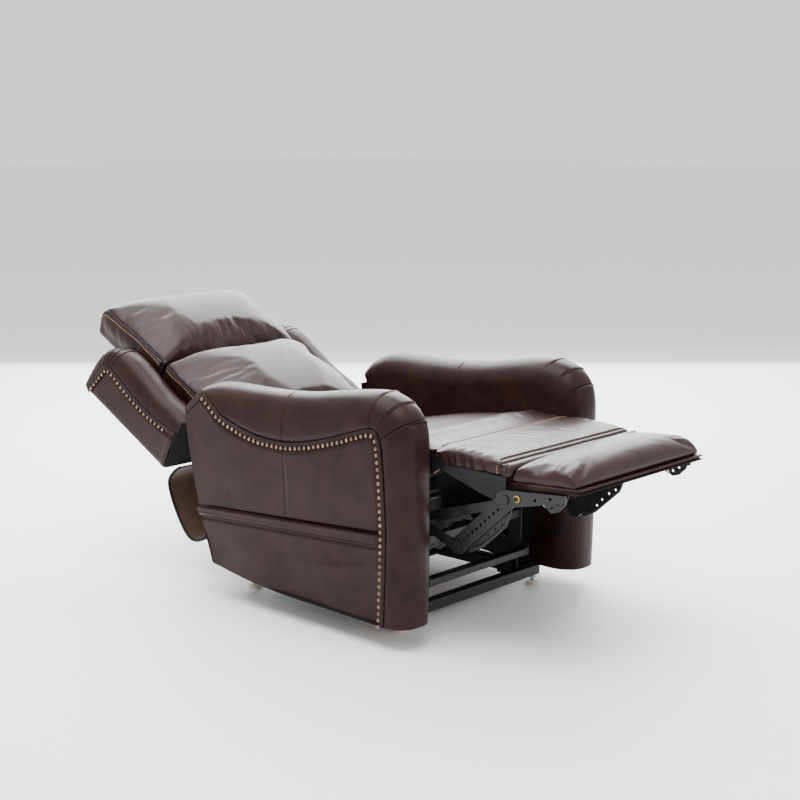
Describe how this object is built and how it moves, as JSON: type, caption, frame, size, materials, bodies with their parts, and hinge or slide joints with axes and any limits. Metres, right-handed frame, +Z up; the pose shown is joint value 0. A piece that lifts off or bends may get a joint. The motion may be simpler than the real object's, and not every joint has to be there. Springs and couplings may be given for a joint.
{
  "type": "lift recliner chair",
  "caption": "Padded armchair on a steel lift base, with a reclining winged back, a tilting headrest and a folding footrest.",
  "frame": {"origin": "on the floor, under the middle of the fully reclined chair", "axes": "+Z up, the chair faces -Y, +X is the left side of the chair as the sitter sees it; +Y runs from footrest to headrest"},
  "size_m": [0.85, 1.815, 0.7626],
  "materials": {
    "leather": "dark brown, glossy",
    "flap_leather": "dark brown leather with a suede inside",
    "dust_cloth": "black woven dust cloth",
    "plywood": "raw plywood",
    "black_steel": "black powder coat",
    "zinc": "zinc plated",
    "motor_plastic": "grey moulded",
    "black_plastic": "black moulded",
    "glide_plastic": "pale moulded",
    "rod_steel": "drawn tube"
  },
  "bodies": {
    "base": {"base_front_tube": "black_steel", "base_rear_tube": "black_steel", "base_side_rails": "black_steel", "riser_plates": "black_steel", "riser_pins": "zinc", "foot_studs": "zinc", "foot_glides": "glide_plastic"},
    "lower_links": {"lower_lift_links": "black_steel", "lower_link_tie": "black_steel"},
    "upper_links": {"upper_lift_links": "black_steel"},
    "chair": {"carriage_plates": "black_steel", "carriage_cross_tubes": "black_steel", "carriage_pins": "zinc", "seat_cross_rails": "black_steel", "seat_plates": "black_steel", "seat_plate_blocks": "black_steel", "seat_deck": "plywood", "seat_cushion": "leather", "front_dust_panel": "dust_cloth", "left_arm_frame": "plywood", "left_arm_inner_panel": "leather", "left_arm_outer_panel": "leather", "left_arm_roll": "leather", "right_arm_frame": "plywood", "right_arm_inner_panel": "leather", "right_arm_outer_panel": "leather", "right_arm_roll": "leather", "foot_hinge_plates": "black_steel", "back_hinge_plates": "black_steel", "control_box": "black_plastic", "rear_flap": "flap_leather", "flap_batten": "plywood", "motor_clevis": "black_steel"},
    "motor": {"motor_housing": "motor_plastic", "motor_clevis_pin": "zinc", "motor_tube": "rod_steel"},
    "motor_rod": {"motor_rod": "rod_steel"},
    "back": {"back_frame": "plywood", "back_rear_panel": "leather", "back_side_plates": "black_steel", "back_cushion": "leather", "left_wing_pad": "leather", "left_wing_panel": "leather", "right_wing_pad": "leather", "right_wing_panel": "leather", "wing_frames": "plywood", "wing_end_covers": "dust_cloth", "headrest_brackets": "black_steel"},
    "headrest": {"headrest_frame": "plywood", "headrest_plates": "black_steel", "headrest_cushion": "leather"},
    "lower_leg_links": {"leg_lower_links": "black_steel", "leg_drive_tube": "black_steel"},
    "upper_leg_links": {"leg_upper_links": "black_steel", "leg_link_pins": "zinc"},
    "footrest": {"footrest_arms": "black_steel", "footrest_board": "plywood", "footrest_pad": "leather", "footrest_roll": "leather", "chaise_pad": "leather"}
  },
  "joints": [
    {"name": "lift", "type": "hinge", "parent": "base", "child": "lower_links", "pos_m": [0, -0.31, 0.059], "axis": [1, 0, 0], "range_deg": [0, 52]},
    {"name": "upper_link_turn", "type": "hinge", "parent": "base", "child": "upper_links", "pos_m": [0, -0.278, 0.132], "axis": [1, 0, 0], "range_deg": [0, 57.39]},
    {"name": "chair_tilt", "type": "hinge", "parent": "lower_links", "child": "chair", "pos_m": [0, 0.114, 0.056], "axis": [1, 0, 0], "range_deg": [-25.8, 0]},
    {"name": "motor_turn", "type": "hinge", "parent": "chair", "child": "motor", "pos_m": [0, -0.33, 0.225], "axis": [1, 0, 0], "range_deg": [-8.71, 0]},
    {"name": "motor_stroke", "type": "slide", "parent": "motor", "child": "motor_rod", "axis": [0, 0.8491, -0.5283], "range_m": [0, 0.0582]},
    {"name": "recline", "type": "hinge", "parent": "chair", "child": "back", "pos_m": [0, 0.2, 0.448], "axis": [1, 0, 0], "range_deg": [0, 48]},
    {"name": "headrest_tilt", "type": "hinge", "parent": "back", "child": "headrest", "pos_m": [0, 0.60252, 0.60347], "axis": [1, 0, 0], "range_deg": [0, 30]},
    {"name": "footrest_fold", "type": "hinge", "parent": "chair", "child": "footrest", "pos_m": [0, -0.5, 0.48], "axis": [1, 0, 0], "range_deg": [0, 88]},
    {"name": "lower_leg_turn", "type": "hinge", "parent": "chair", "child": "lower_leg_links", "pos_m": [0, -0.331, 0.328], "axis": [1, 0, 0], "range_deg": [0, 88]},
    {"name": "upper_leg_turn", "type": "hinge", "parent": "footrest", "child": "upper_leg_links", "pos_m": [0, -0.699, 0.41], "axis": [1, 0, 0], "range_deg": [-88, 0]}
  ],
  "couplings": [
    {"joint": "upper_link_turn", "follows": "lift", "ratio": 1.098},
    {"joint": "chair_tilt", "follows": "lift", "ratio": -0.49039},
    {"joint": "motor_turn", "follows": "lift", "ratio": -0.16176},
    {"joint": "motor_stroke", "follows": "lift", "m_per_rad": 0.063569},
    {"joint": "lower_leg_turn", "follows": "footrest_fold", "ratio": 1},
    {"joint": "upper_leg_turn", "follows": "footrest_fold", "ratio": -1}
  ]
}
